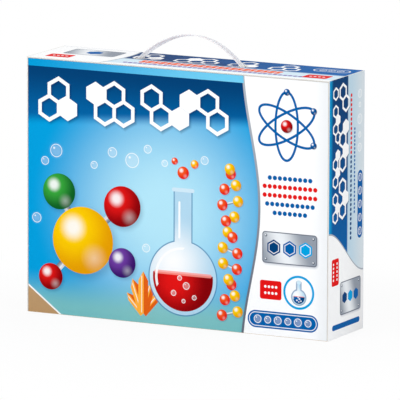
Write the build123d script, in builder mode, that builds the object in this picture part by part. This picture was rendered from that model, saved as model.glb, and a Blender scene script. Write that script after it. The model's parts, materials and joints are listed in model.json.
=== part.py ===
"""A children's chemistry set in its carrying case, standing upright on its base.

The case is a suitcase-style carton: a shallow tray of folded board whose open
front is closed by a lid. The lid is creased along the bottom front edge, has an
ear at each side and a tuck tongue at its top. A strap handle rises through two
slots in the top wall and is held inside by two T-shaped anchors. An insert of
shelves and dividers holds the laboratory ware, with a booklet behind it.

X runs to the right, Y to the back and Z up. The origin is the centre of the base.
All sizes are in millimetres.
"""
from build123d import *
from collections import namedtuple
from math import cos, hypot, radians, sin, sqrt, tan
import os

os.makedirs("parts", exist_ok=True)

# ---------------------------------------------------------------- case
case_width = 425.0
case_depth = 100.0
case_height = 327.0
board = 1.5                   # thickness of the fluted board
liner = 0.3                   # outer paper liner that bends in the lid's crease
fold_clearance = 0.4          # between board edges that move past each other
crease_radius = 1.0           # rounding of a folded outer edge
glue_tab_length = 35.0
glue_tab_taper = 6.0
glue_tab_inset = 3.0          # from the front plane and from the back panel

# ---------------------------------------------------------------- lid
ear_depth = 38.0
ear_foot = 10.0               # height of the ear's root above the base
ear_drop = 11.0               # from the lid's top edge to the ear's root
ear_taper = 15.0              # how much shorter the ear's free edge is, each end
ear_corner = 12.0
tongue_length = 38.0
tongue_root_gap = 0.5
tongue_lean = 10.0            # degrees below square, so that the tip clears the top wall
tongue_side_gap = 6.0         # between the tongue and a glue tab
tongue_corner = 18.0

# ---------------------------------------------------------------- handle
handle_x = -8.5
handle_y = 6.0
handle_span = 143.5           # between the slots, at the top wall's outer face
handle_rise = 34.0            # along the arch's own plane
handle_lean = 11.0            # degrees that the arch leans to the back
strap_width = 16.5
strap_end_width = 13.5
strap_thickness = 1.4
slot_length = 18.0
slot_width = 10.0
slot_shift = 1.5              # of a slot outwards, because the strap slopes through it
patch_margin = 22.0           # of the patch beyond a slot, along X
patch_thickness = 1.5
anchor_length = 32.0
anchor_width = 15.0
anchor_thickness = 2.6
anchor_corner = 3.0
anchor_neck = 3.0
joint_gap = 0.3               # between the strap's end and its anchor
anchor_travel = 9.6           # how far an anchor sinks as the strap is pressed flat

# ---------------------------------------------------------------- insert
partition = 1.2               # thickness of the insert's board
insert_side_gap = 1.0
insert_headroom = 7.4         # below the sunken anchors
insert_ear_gap = 4.5          # between the tips of the ears and the insert
booklet_gap = 0.3
item_inset = 3.0              # of an item behind the insert's front edges
item_gap = 0.5                # between a deep item and the insert's back sheet
rest_gap = 0.1                # under an item that rests on a rounded face

# ---------------------------------------------------------------- contents
booklet_width = 297.0
booklet_height = 210.0
booklet_thickness = 3.0
booklet_corner = 2.0

rack_width = 110.0
rack_top_width = 92.0
rack_height = 72.0
rack_depth = 40.0
rack_wall = 3.0
rack_shelf_height = 22.0
rack_hole_clearance = 0.9     # radial, round a test tube
rack_seat = 1.0               # how much narrower than a tube the shelf's holes are, radially

tube_radius = 8.0
tube_length = 110.0
tube_wall = 1.0
tube_rim = 1.2                # radial width of the rim bead
tube_rim_height = 3.0
tube_count = 3
stopper_head = 9.0
stopper_plug = 10.0
stopper_fit = 0.05
stopper_lead = 2.0            # height of the plug's bevelled tip
stopper_bevel = 1.0

funnel_radius = 30.0
funnel_cone = 42.0
funnel_stem_radius = 5.0
funnel_tip_radius = 4.0
funnel_stem = 36.0
funnel_wall = 1.4
funnel_rim_wall = 1.7

flask_radius = 32.0
flask_height = 100.0
flask_skirt = 9.0             # height of the straight foot
flask_neck_radius = 13.0
flask_neck = 26.0
flask_lip = 2.0
flask_lip_height = 4.0
flask_wall = 1.4

beaker_radius = 26.0
beaker_height = 66.0
beaker_rim = 1.6
beaker_rim_height = 2.5
beaker_wall = 1.4

cylinder_radius = 12.0
cylinder_height = 136.0
cylinder_wall = 1.3
cylinder_foot_radius = 20.0
cylinder_foot = 5.0

jar_radius = 18.0
jar_body = 44.0
jar_shoulder = 4.0
jar_neck_radius = 14.0
jar_neck = 11.0
jar_wall = 1.3
cap_wall = 1.6
cap_fit = 0.2
cap_height = 13.0
cap_lift = 0.5                # between the cap's lower edge and the jar's shoulder

dish_radius = 31.0
dish_height = 12.0
dish_wall = 1.2
dish_lid_height = 8.0
dish_fit = 0.3

pipette_length = 150.0
pipette_radius = 3.5
pipette_bore = 2.2
pipette_tip_radius = 1.4
pipette_tip = 38.0
pipette_tip_bore = 0.6
bulb_radius = 7.0
bulb_length = 34.0
bulb_wall = 1.0

spoon_length = 180.0
spoon_bowl_radius = 9.0
spoon_bowl_depth = 8.0
spoon_bowl_taper = 3.0
spoon_wall = 1.3
spoon_handle_width = 7.0
spoon_handle_thickness = 3.0

glasses_width = 146.0
glasses_height = 56.0
glasses_sweep = 18.0          # depth of the lens's bow
glasses_lens = 2.0
glasses_nose_radius = 17.0
temple_length = 118.0
temple_width = 12.0
temple_thickness = 3.0
temple_hook = 10.0
temple_knuckle = 6.0
temple_corner = 3.0

# ---------------------------------------------------------------- derived places
front = -case_depth / 2
back = case_depth / 2
side = case_width / 2
inner_front = front + board
inner_back = back - board
inner_side = side - board
inner_top = case_height - board
lid_side = inner_side - fold_clearance
lid_top = inner_top - fold_clearance
ear_tip = inner_front + ear_depth
patch_under = inner_top - patch_thickness
anchor_top = patch_under - joint_gap

insert_side = inner_side - insert_side_gap
shelf_side = insert_side - partition
insert_low = 2 * board
insert_high = anchor_top - anchor_thickness - anchor_travel - insert_headroom
insert_front = ear_tip + insert_ear_gap
booklet_back = inner_back - booklet_gap
insert_back = booklet_back - booklet_thickness - booklet_gap
shelf_back = insert_back - partition

Span = namedtuple("Span", "low high")


def save(builder, label):
    """Labels a finished piece and writes it."""
    builder.part.label = label
    export_step(builder.part, f"parts/{label}.step")


def block(x, y, z, mode=Mode.ADD):
    """A block between two corners, given as one pair of limits for each axis."""
    with Locations(((x[0] + x[1]) / 2, (y[0] + y[1]) / 2, (z[0] + z[1]) / 2)):
        Box(x[1] - x[0], y[1] - y[0], z[1] - z[0], mode=mode)


def upright(x, y, z):
    """A plane that faces the front: local X is to the right and local Y is up."""
    return Plane(origin=(x, y, z), x_dir=(1, 0, 0), z_dir=(0, -1, 0))


# ================================================================ carton
def make_back_panel():
    with BuildPart() as panel:
        block((-side, side), (inner_back, back), (0, case_height))
        fillet(panel.faces().sort_by(Axis.Y)[-1].edges(), crease_radius)
    save(panel, "back_panel")


def make_side_wall(sign, label):
    with BuildPart() as wall:
        block(sorted((sign * inner_side, sign * side)), (front, inner_back), (0, case_height))
    save(wall, label)


def handle_slots(low, high):
    """Cuts the two handle slots through whatever lies between two heights."""
    for sign in (-1, 1):
        centre = handle_x + sign * (handle_span / 2 + slot_shift)
        x = (centre - slot_width / 2, centre + slot_width / 2)
        y = (handle_y - slot_length / 2, handle_y + slot_length / 2)
        block(x, y, (low, high), Mode.SUBTRACT)


def make_top_wall():
    with BuildPart() as wall:
        block((-inner_side, inner_side), (front, inner_back), (inner_top, case_height))
        handle_slots(inner_top, case_height)
    save(wall, "top_wall")


def make_handle_patch():
    """The board glued under the top wall, where the anchors pull against it."""
    reach = handle_span / 2 + slot_width / 2 + patch_margin
    with BuildPart() as patch:
        block(
            (handle_x - reach, handle_x + reach),
            (handle_y - slot_length / 2 - glue_tab_inset, inner_back - glue_tab_inset),
            (patch_under, inner_top),
        )
        handle_slots(patch_under, inner_top)
    save(patch, "handle_patch")


def make_bottom_wall():
    """The base, with its outer liner carried forward to the lid's crease."""
    with BuildPart() as wall:
        block((-inner_side, inner_side), (inner_front + fold_clearance, inner_back), (0, board))
        block((-inner_side, inner_side), (front, inner_back), (0, liner))
    save(wall, "bottom_wall")


def make_glue_tab(sign, height, label):
    """A tab of a side wall, glued inside the top or bottom wall."""
    near = inner_front + glue_tab_inset
    far = inner_back - glue_tab_inset
    tip = inner_side - glue_tab_length
    with BuildPart() as tab:
        with BuildSketch(Plane.XY.offset(height)):
            with BuildLine():
                Polyline(
                    (sign * inner_side, near),
                    (sign * tip, near + glue_tab_taper),
                    (sign * tip, far - glue_tab_taper),
                    (sign * inner_side, far),
                    close=True,
                )
            make_face()
        extrude(amount=board)
    save(tab, label)


# ================================================================ lid
def make_lid_panel():
    with BuildPart() as panel:
        block((-lid_side, lid_side), (front, inner_front), (liner + fold_clearance / 4, lid_top))
    save(panel, "lid_panel")


def make_lid_ear(sign, label):
    """A flap at one side of the lid, tucked inside the side wall."""
    foot = ear_foot
    head = lid_top - ear_drop
    with BuildPart() as ear:
        with BuildSketch(Plane.YZ.offset(sign * lid_side - (board if sign > 0 else 0))) as outline:
            with BuildLine():
                Polyline(
                    (inner_front, foot),
                    (ear_tip, foot + ear_taper),
                    (ear_tip, head - ear_taper),
                    (inner_front, head),
                    close=True,
                )
            make_face()
            fillet(outline.vertices().group_by(Axis.X)[-1], ear_corner)
        extrude(amount=board)
    save(ear, label)


def make_lid_tongue():
    """The tuck flap at the lid's top edge, leaning down into the case."""
    half = inner_side - glue_tab_length - tongue_side_gap
    root = Plane(origin=(0, inner_front, lid_top), x_dir=(1, 0, 0), z_dir=(0, 0, 1))
    with BuildPart() as tongue:
        with BuildSketch(root.rotated((-tongue_lean, 0, 0))) as outline:
            with Locations((0, tongue_root_gap + tongue_length / 2)):
                Rectangle(2 * half, tongue_length)
            fillet(outline.vertices().group_by(Axis.Y)[-1], tongue_corner)
        extrude(amount=-board)
    save(tongue, "lid_tongue")


# ================================================================ handle
lean = radians(handle_lean)
handle_depth = (case_height - patch_under) / cos(lean)    # of the strap's ends, along the arch
handle_foot = (handle_x, handle_y, case_height)
handle_plane = Plane(origin=handle_foot, x_dir=(1, 0, 0), z_dir=(0, -cos(lean), sin(lean)))
handle_plan = Plane(origin=handle_foot, x_dir=(1, 0, 0), z_dir=(0, sin(lean), cos(lean)))


def arch_reach(depth):
    """How far out the arch's middle line is at a depth below the case's top."""
    return handle_span / 2 * sqrt(1 + depth / handle_rise)


def arch_side(offset):
    """The three poles of a parabola that runs beside the arch's middle line."""
    tail = 2 * handle_depth
    reach = arch_reach(tail)
    steep = hypot(reach, 2 * (handle_rise + tail))
    out = offset * 2 * (handle_rise + tail) / steep
    up = offset * reach / steep
    crown = 2 * (handle_rise + offset) + tail - up
    return (-reach - out, up - tail), (0, crown), (reach + out, up - tail)


def make_handle_strap():
    """The arched strap, cut off below the patch just above its anchors."""
    reach = handle_span / 2 + slot_width
    waist = handle_span / 3
    with BuildPart() as strap:
        with BuildSketch(handle_plane):
            with BuildLine():
                upper = Bezier(*arch_side(strap_thickness / 2))
                lower = Bezier(*arch_side(-strap_thickness / 2))
                Line(upper @ 0, lower @ 0)
                Line(upper @ 1, lower @ 1)
            make_face()
        extrude(amount=strap_width / 2, both=True)
        with BuildSketch(handle_plan):
            Rectangle(2 * waist, strap_width)
            for sign in (-1, 1):
                with BuildLine():
                    Polyline(
                        (sign * waist, -strap_width / 2),
                        (sign * reach, -strap_end_width / 2),
                        (sign * reach, strap_end_width / 2),
                        (sign * waist, strap_width / 2),
                        close=True,
                    )
                make_face()
        extrude(amount=2 * handle_rise, both=True, mode=Mode.INTERSECT)
        block(
            (handle_x - reach, handle_x + reach),
            (handle_y - handle_rise, handle_y + handle_rise),
            (patch_under, case_height + 2 * handle_rise),
            Mode.INTERSECT,
        )
    save(strap, "handle_strap")


def make_handle_anchor(sign, label):
    """The T-shaped end of the strap, wider than the slot above it."""
    drop = patch_under - case_height
    centre = (handle_x + sign * arch_reach(handle_depth), handle_y + drop * tan(lean))
    with BuildPart() as anchor:
        with BuildSketch(Plane.XY.offset(anchor_top)):
            with Locations(centre):
                RectangleRounded(anchor_width, anchor_length, anchor_corner)
        extrude(amount=-anchor_thickness)
        with BuildSketch(Plane.XY.offset(anchor_top - anchor_thickness)):
            with Locations(centre):
                RectangleRounded(anchor_width / 2, strap_end_width, anchor_corner)
        extrude(amount=-anchor_neck)
    save(anchor, label)


# ================================================================ layout of the contents
def spread(sizes):
    """Limits along X of items of the given sizes, with even gaps across a shelf."""
    gap = (2 * shelf_side - sum(sizes)) / (len(sizes) + 1)
    spans = []
    at = gap - shelf_side
    for size in sizes:
        spans.append(Span(at, at + size))
        at += size + gap
    return spans


def middle(span):
    return (span.low + span.high) / 2


def seat(depth):
    """The place along Y of an item's middle: near the front, or against the back sheet."""
    return min(insert_front + item_inset, shelf_back - item_gap - depth) + depth / 2


tube_reach = tube_radius + tube_rim
seat_radius = tube_radius - rack_seat
seat_drop = tube_radius - sqrt(tube_radius**2 - seat_radius**2)
tube_foot = rack_shelf_height + rack_wall / 2 - seat_drop + rest_gap
funnel_height = funnel_cone + funnel_stem
jar_height = jar_body + jar_shoulder + jar_neck
cap_base = jar_body + jar_shoulder + cap_lift
cap_top = cap_base + cap_height
glasses_depth = glasses_sweep + 2 * temple_thickness

lower_height = max(
    cylinder_height, flask_height, beaker_height, tube_foot + tube_length + stopper_head, cap_top
)
middle_height = max(funnel_height, dish_height, cap_top, glasses_height)
upper_height = max(2 * bulb_radius + rest_gap, spoon_bowl_depth)
tallest = lower_height + middle_height + upper_height
row_count = 3
headroom = (insert_high - insert_low - (row_count + 1) * partition - tallest) / row_count
lower_z = insert_low + partition
middle_z = lower_z + lower_height + headroom + partition
upper_z = middle_z + middle_height + headroom + partition
ceiling_z = insert_high - partition

lower_row = spread((
    rack_width, 2 * flask_radius, 2 * (beaker_radius + beaker_rim),
    2 * cylinder_foot_radius, 2 * jar_radius, 2 * jar_radius,
))
rack_x, flask_x, beaker_x, cylinder_x, jar_a_x, jar_b_x = lower_row
middle_row = spread((2 * funnel_radius, 2 * dish_radius, 2 * jar_radius, glasses_width))
funnel_x, dish_x, jar_c_x, glasses_span = middle_row
upper_row = spread((pipette_length, spoon_length))
pipette_left, spoon_left = (span.low for span in upper_row)
tube_pitch = rack_top_width / tube_count
tube_places = [
    middle(rack_x) + tube_pitch * (order - (tube_count - 1) / 2) for order in range(tube_count)
]

rack_y = seat(rack_depth)
flask_y = seat(2 * flask_radius)
beaker_y = seat(2 * (beaker_radius + beaker_rim))
cylinder_y = seat(2 * cylinder_foot_radius)
jar_y = seat(2 * jar_radius)
funnel_y = seat(2 * funnel_radius)
dish_y = seat(2 * dish_radius)
pipette_y = seat(2 * bulb_radius)
pipette_z = upper_z + bulb_radius + rest_gap
spoon_y = seat(2 * spoon_bowl_radius)
glasses_x = middle(glasses_span)
glasses_front = seat(glasses_depth) - glasses_depth / 2


# ================================================================ insert and booklet
def make_sheet(label, x, y, z):
    """A flat sheet of the insert between two corners."""
    with BuildPart() as sheet:
        block(x, y, z)
    save(sheet, label)


def make_insert():
    """A back sheet, two sides, four shelves and the dividers between the items."""
    depth = (insert_front, shelf_back)
    height = (insert_low, insert_high)
    across = (-shelf_side, shelf_side)
    make_sheet("insert_back", (-insert_side, insert_side), (shelf_back, insert_back), height)
    make_sheet("insert_left_side", (-insert_side, -shelf_side), depth, height)
    make_sheet("insert_right_side", (shelf_side, insert_side), depth, height)
    for label, top in (
        ("insert_base", lower_z), ("insert_middle_shelf", middle_z),
        ("insert_upper_shelf", upper_z), ("insert_ceiling", insert_high),
    ):
        make_sheet(label, across, depth, (top - partition, top))
    for name, row, low, high in (
        ("lower", lower_row, lower_z, middle_z - partition),
        ("middle", middle_row, middle_z, upper_z - partition),
        ("upper", upper_row, upper_z, ceiling_z),
    ):
        for number, (near, far) in enumerate(zip(row, row[1:]), 1):
            x = (near.high + far.low) / 2
            make_sheet(
                f"{name}_divider_{number}", (x - partition / 2, x + partition / 2), depth,
                (low, high),
            )


def make_booklet():
    with BuildPart() as booklet:
        with BuildSketch(upright(0, booklet_back - booklet_thickness, board)):
            with Locations((0, booklet_height / 2)):
                RectangleRounded(booklet_width, booklet_height, booklet_corner)
        extrude(amount=-booklet_thickness)
    save(booklet, "instruction_booklet")


# ================================================================ ware made on a lathe
def shell_outline(stations, wall, floor):
    """A vessel's half section: outside up from the base, inside back down to its floor."""
    inside = [(radius - wall, max(height, floor)) for radius, height in stations[::-1]]
    return [(0, 0)] + stations + inside + [(0, floor)]


def turned(label, x, y, z, outline):
    """Turns a closed half section about an upright axis."""
    with BuildPart() as piece:
        with BuildSketch(upright(x, y, z)):
            with BuildLine():
                Polyline(*outline, close=True)
            make_face()
        revolve(axis=Axis((x, y, z), (0, 0, 1)))
    save(piece, label)


def make_flask():
    shoulder = flask_height - flask_neck
    lip = flask_height - flask_lip_height
    stations = [
        (flask_radius, 0),
        (flask_radius, flask_skirt),
        (flask_neck_radius, shoulder),
        (flask_neck_radius, lip),
    ]
    outline = shell_outline(stations, flask_wall, flask_wall)
    top = [
        (flask_neck_radius, lip),
        (flask_neck_radius + flask_lip, lip),
        (flask_neck_radius + flask_lip, flask_height),
        (flask_neck_radius - flask_wall, flask_height),
    ]
    split = 1 + len(stations)
    outline = outline[:split - 1] + top + outline[split + 1:]
    turned("conical_flask", middle(flask_x), flask_y, lower_z, outline)


def make_beaker():
    step = beaker_height - beaker_rim_height
    outer = beaker_radius
    rim = outer + beaker_rim
    bore = outer - beaker_wall
    outline = [
        (0, 0), (outer, 0), (outer, step), (rim, step), (rim, beaker_height),
        (bore, beaker_height), (bore, beaker_wall), (0, beaker_wall),
    ]
    turned("beaker", middle(beaker_x), beaker_y, lower_z, outline)


def make_measuring_cylinder():
    bore = cylinder_radius - cylinder_wall
    outline = [
        (0, 0), (cylinder_foot_radius, 0), (cylinder_foot_radius, cylinder_foot),
        (cylinder_radius, cylinder_foot), (cylinder_radius, cylinder_height),
        (bore, cylinder_height), (bore, cylinder_foot), (0, cylinder_foot),
    ]
    turned("measuring_cylinder", middle(cylinder_x), cylinder_y, lower_z, outline)


def make_funnel():
    """A funnel standing on its mouth, stem up."""
    outline = [
        (funnel_radius, 0),
        (funnel_stem_radius, funnel_cone),
        (funnel_tip_radius, funnel_height),
        (funnel_tip_radius - funnel_wall, funnel_height),
        (funnel_stem_radius - funnel_wall, funnel_cone),
        (funnel_radius - funnel_rim_wall, 0),
    ]
    turned("funnel", middle(funnel_x), funnel_y, middle_z, outline)


def make_jar(label, x, z):
    stations = [
        (jar_radius, 0),
        (jar_radius, jar_body),
        (jar_neck_radius, jar_body + jar_shoulder),
        (jar_neck_radius, jar_height),
    ]
    turned(label, x, jar_y, z, shell_outline(stations, jar_wall, jar_wall))


def make_cap(label, x, z):
    bore = jar_neck_radius + cap_fit
    outer = bore + cap_wall
    seat = jar_height - cap_base
    outline = [
        (bore, 0), (outer, 0), (outer, cap_height), (0, cap_height),
        (0, seat), (bore, seat),
    ]
    turned(label, x, jar_y, z + cap_base, outline)


def make_test_tube(label, x):
    """A round-bottomed tube with a rim bead, standing in the rack."""
    z = lower_z + tube_foot
    bore = tube_radius - tube_wall
    step = tube_length - tube_rim_height
    with BuildPart() as tube:
        with BuildSketch(upright(x, rack_y, z)):
            with BuildLine():
                RadiusArc((0, 0), (tube_radius, tube_radius), -tube_radius)
                Polyline(
                    (tube_radius, tube_radius), (tube_radius, step), (tube_reach, step),
                    (tube_reach, tube_length), (bore, tube_length), (bore, tube_radius),
                )
                RadiusArc((bore, tube_radius), (0, tube_wall), bore)
                Line((0, tube_wall), (0, 0))
            make_face()
        revolve(axis=Axis((x, rack_y, z), (0, 0, 1)))
    save(tube, label)


def make_stopper(label, x):
    plug = tube_radius - tube_wall - stopper_fit
    outline = [
        (0, -stopper_plug), (plug - stopper_bevel, -stopper_plug),
        (plug, -stopper_plug + stopper_lead), (plug, 0),
        (tube_reach, 0), (tube_reach, stopper_head), (0, stopper_head),
    ]
    turned(label, x, rack_y, lower_z + tube_foot + tube_length, outline)


def make_dish_base():
    outer = dish_radius - dish_wall - dish_fit
    rim = dish_height - dish_wall
    outline = [
        (0, 0), (outer, 0), (outer, rim), (outer - dish_wall, rim),
        (outer - dish_wall, dish_wall), (0, dish_wall),
    ]
    turned("dish_base", middle(dish_x), dish_y, middle_z, outline)


def make_dish_lid():
    """The dish's lid, resting on the base's rim."""
    bore = dish_radius - dish_wall
    skirt = dish_height - dish_lid_height
    underside = dish_height - dish_wall
    outline = [
        (bore, skirt), (dish_radius, skirt), (dish_radius, dish_height),
        (0, dish_height), (0, underside), (bore, underside),
    ]
    turned("dish_lid", middle(dish_x), dish_y, middle_z, outline)


# ================================================================ other ware
def make_rack():
    """A bench for the test tubes: splayed ends, a pierced top and a lower shelf."""
    x, z = middle(rack_x), lower_z
    half_top, half_foot = rack_top_width / 2, rack_width / 2
    shelf_half = half_foot - (half_foot - half_top) * rack_shelf_height / rack_height - rack_wall
    with BuildPart() as rack:
        with BuildSketch(upright(x, rack_y, z)):
            with BuildLine():
                Polyline(
                    (-half_foot, 0), (-half_top, rack_height), (half_top, rack_height),
                    (half_foot, 0), (half_foot - rack_wall, 0),
                    (half_top - rack_wall, rack_height - rack_wall),
                    (-half_top + rack_wall, rack_height - rack_wall),
                    (-half_foot + rack_wall, 0), close=True,
                )
            make_face()
            with Locations((0, rack_shelf_height)):
                Rectangle(2 * shelf_half + rack_wall, rack_wall)
        extrude(amount=rack_depth / 2, both=True)
        for low, radius in (
            (rack_height - rack_wall, tube_radius + rack_hole_clearance),
            (rack_shelf_height - rack_wall / 2, seat_radius),
        ):
            with BuildSketch(Plane.XY.offset(z + low)):
                with Locations((x, rack_y)):
                    with GridLocations(tube_pitch, 0, tube_count, 1):
                        Circle(radius)
            extrude(amount=rack_wall, mode=Mode.SUBTRACT)
    save(rack, "test_tube_rack")


def make_pipette():
    """A plastic dropper tube lying along X, tip to the right."""
    length = pipette_length - bulb_length
    start = pipette_left + bulb_length
    with BuildPart() as pipette:
        with BuildSketch(upright(start, pipette_y, pipette_z)):
            with BuildLine():
                Polyline(
                    (0, pipette_bore), (0, pipette_radius),
                    (length - pipette_tip, pipette_radius), (length, pipette_tip_radius),
                    (length, pipette_tip_bore), (length - pipette_tip, pipette_bore), close=True,
                )
            make_face()
        revolve(axis=Axis((start, pipette_y, pipette_z), (1, 0, 0)))
    save(pipette, "pipette_tube")


def make_bulb():
    """The pipette's rubber bulb, a rounded cup over the tube's end."""
    base = bulb_length - bulb_radius
    with BuildPart() as bulb:
        with BuildSketch(upright(pipette_left + bulb_radius, pipette_y, pipette_z)):
            with BuildLine():
                RadiusArc((-bulb_radius, 0), (0, bulb_radius), bulb_radius)
                Polyline(
                    (0, bulb_radius), (base - bulb_radius, bulb_radius),
                    (base, pipette_radius + bulb_wall / 2), (base, pipette_bore),
                    (base - bulb_wall, pipette_bore),
                    (base - bulb_wall - bulb_radius, bulb_radius - bulb_wall),
                    (0, bulb_radius - bulb_wall),
                )
                RadiusArc((0, bulb_radius - bulb_wall), (bulb_wall - bulb_radius, 0),
                          bulb_wall - bulb_radius)
                Line((bulb_wall - bulb_radius, 0), (-bulb_radius, 0))
            make_face()
        revolve(axis=Axis((pipette_left, pipette_y, pipette_z), (1, 0, 0)))
    save(bulb, "pipette_bulb")


def make_spoon():
    """A long-handled measuring spoon with a round scoop at each end, hollow side up."""
    bowls = (spoon_left + spoon_bowl_radius, spoon_left + spoon_length - spoon_bowl_radius)
    root = spoon_bowl_radius - spoon_wall / 2
    foot = spoon_bowl_radius - spoon_bowl_taper
    rim = upper_z + spoon_bowl_depth
    with BuildPart() as spoon:
        block(
            (bowls[0] + root, bowls[1] - root),
            (spoon_y - spoon_handle_width / 2, spoon_y + spoon_handle_width / 2),
            (rim - spoon_handle_thickness, rim),
        )
        for x in bowls:
            with BuildSketch(upright(x, spoon_y, upper_z)):
                with BuildLine():
                    Polyline(
                        (0, 0), (foot, 0), (spoon_bowl_radius, spoon_bowl_depth),
                        (spoon_bowl_radius - spoon_wall, spoon_bowl_depth),
                        (foot - spoon_wall, spoon_wall), (0, spoon_wall), close=True,
                    )
                make_face()
            revolve(axis=Axis((x, spoon_y, upper_z), (0, 0, 1)))
    save(spoon, "measuring_spoon")


def make_glasses_lens():
    """A one-piece wrap-round lens with a nose notch, bowed towards the front."""
    half = glasses_width / 2
    radius = (half**2 + glasses_sweep**2) / (2 * glasses_sweep)
    with BuildPart() as lens:
        with BuildSketch(Plane.XY.offset(middle_z)):
            with BuildLine():
                rear = glasses_front + glasses_sweep
                near = ThreePointArc(
                    (glasses_x - half, rear), (glasses_x, glasses_front), (glasses_x + half, rear)
                )
                far = ThreePointArc(
                    (glasses_x + half - glasses_lens, rear),
                    (glasses_x, glasses_front + glasses_lens),
                    (glasses_x - half + glasses_lens, rear),
                )
                Line(near @ 1, far @ 0)
                Line(far @ 1, near @ 0)
            make_face()
        extrude(amount=glasses_height)
        with BuildSketch(upright(glasses_x, glasses_front, middle_z)):
            Circle(glasses_nose_radius)
        extrude(amount=-glasses_sweep, mode=Mode.SUBTRACT)
    save(lens, "glasses_lens")


def make_temple(sign, order, label):
    """A side arm, folded in behind the lens, with a knuckle at the lens's end."""
    outer = glasses_x + sign * glasses_width / 2
    tip = outer - sign * temple_length
    rear = glasses_front + glasses_sweep
    start = rear + order * temple_thickness
    arm = (start, start + temple_thickness)
    top = middle_z + glasses_height
    low = top - temple_width
    with BuildPart() as temple:
        block(sorted((outer, tip)), arm, (low, top))
        block(sorted((tip, tip + sign * temple_width)), arm, (low - temple_hook, low))
        block(sorted((outer, outer - sign * temple_knuckle)), (rear, arm[1]), (low, top))
        hook = temple.edges().filter_by(Axis.Y).group_by(Axis.Z)[0]
        fillet(hook, temple_corner)
    save(temple, label)


# ================================================================ the whole set
make_back_panel()
make_side_wall(-1, "left_wall")
make_side_wall(1, "right_wall")
make_top_wall()
make_bottom_wall()
make_handle_patch()
make_glue_tab(-1, inner_top - board, "top_left_glue_tab")
make_glue_tab(1, inner_top - board, "top_right_glue_tab")
make_glue_tab(-1, board, "bottom_left_glue_tab")
make_glue_tab(1, board, "bottom_right_glue_tab")
make_lid_panel()
make_lid_ear(-1, "lid_left_ear")
make_lid_ear(1, "lid_right_ear")
make_lid_tongue()
make_handle_strap()
make_handle_anchor(-1, "left_handle_anchor")
make_handle_anchor(1, "right_handle_anchor")
make_insert()
make_booklet()
make_rack()
make_flask()
make_beaker()
make_measuring_cylinder()
make_funnel()
for name, span, low in (
    ("a", jar_a_x, lower_z), ("b", jar_b_x, lower_z), ("c", jar_c_x, middle_z)
):
    make_jar(f"jar_{name}", middle(span), low)
    make_cap(f"jar_{name}_cap", middle(span), low)
for number, place in enumerate(tube_places, 1):
    make_test_tube(f"test_tube_{number}", place)
    make_stopper(f"stopper_{number}", place)
make_dish_base()
make_dish_lid()
make_pipette()
make_bulb()
make_spoon()
make_glasses_lens()
make_temple(-1, 0, "glasses_left_temple")
make_temple(1, 1, "glasses_right_temple")
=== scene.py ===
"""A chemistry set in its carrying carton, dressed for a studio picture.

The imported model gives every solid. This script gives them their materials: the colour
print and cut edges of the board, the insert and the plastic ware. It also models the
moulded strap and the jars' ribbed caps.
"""
import json
import math
from functools import partialmethod

import bmesh
import bpy
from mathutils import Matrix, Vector


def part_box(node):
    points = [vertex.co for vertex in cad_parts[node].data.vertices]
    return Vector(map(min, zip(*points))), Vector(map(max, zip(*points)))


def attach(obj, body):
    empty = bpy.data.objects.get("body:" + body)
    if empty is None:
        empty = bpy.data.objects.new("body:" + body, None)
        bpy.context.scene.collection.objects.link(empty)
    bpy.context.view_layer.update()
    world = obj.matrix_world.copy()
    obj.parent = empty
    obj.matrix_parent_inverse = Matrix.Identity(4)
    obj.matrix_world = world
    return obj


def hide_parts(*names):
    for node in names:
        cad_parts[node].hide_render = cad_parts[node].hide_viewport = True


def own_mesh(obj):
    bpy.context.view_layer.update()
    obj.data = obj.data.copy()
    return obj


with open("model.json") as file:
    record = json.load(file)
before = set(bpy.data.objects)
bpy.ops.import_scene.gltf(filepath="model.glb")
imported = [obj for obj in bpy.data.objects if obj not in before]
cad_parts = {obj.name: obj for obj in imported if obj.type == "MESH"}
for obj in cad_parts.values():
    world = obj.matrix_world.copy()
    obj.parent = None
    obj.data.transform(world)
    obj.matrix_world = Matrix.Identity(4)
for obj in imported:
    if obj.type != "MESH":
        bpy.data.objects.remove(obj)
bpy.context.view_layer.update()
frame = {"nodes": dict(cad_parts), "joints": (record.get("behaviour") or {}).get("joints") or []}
nodes = frame["nodes"]

MM = 0.001

# ======== sizes from the frame
case_low, case_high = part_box("back_panel")
CASE_WIDTH = (case_high.x - case_low.x) / MM
CASE_HEIGHT = (case_high.z - case_low.z) / MM
CASE_BACK = case_high.y / MM
CASE_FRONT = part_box("left_wall")[0].y / MM
CASE_DEPTH = CASE_BACK - CASE_FRONT
HALF_WIDTH = CASE_WIDTH / 2
BOARD = (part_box("top_wall")[1].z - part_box("top_wall")[0].z) / MM


# ======== colours
def ink(red, green, blue):
    """A printed colour, written as it looks on a screen, as linear light."""
    def linear(value):
        share = value / 255
        return share / 12.92 if share <= 0.04045 else ((share + 0.055) / 1.055) ** 2.4
    return (linear(red), linear(green), linear(blue), 1.0)


WHITE = ink(252, 253, 254)
PAPER = ink(243, 245, 247)
NAVY = ink(0, 62, 118)
BLUE = ink(0, 94, 166)
CYAN = ink(0, 160, 222)
SKY = ink(0, 156, 218)
ICE = ink(178, 228, 246)
SILVER = ink(170, 178, 188)
DARK_SILVER = ink(100, 108, 122)
RED = ink(226, 20, 20)
DARK_RED = ink(132, 0, 6)
ORANGE = ink(244, 92, 30)
YELLOW = ink(252, 206, 0)
DARK_YELLOW = ink(226, 154, 0)
GREEN = ink(56, 166, 60)
DARK_GREEN = ink(8, 92, 34)
VIOLET = ink(112, 62, 162)
DARK_VIOLET = ink(54, 18, 100)
KRAFT = ink(186, 150, 108)
SHADOW_INK = ink(10, 70, 130)


# ======== fields of shader nodes
def feed(socket, value):
    """Sets a socket to a number, a vector or a colour, or links a field or a socket to it."""
    if isinstance(value, Field):
        value = value.socket
    if isinstance(value, bpy.types.NodeSocket):
        socket.id_data.links.new(value, socket)
    else:
        socket.default_value = value


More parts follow.
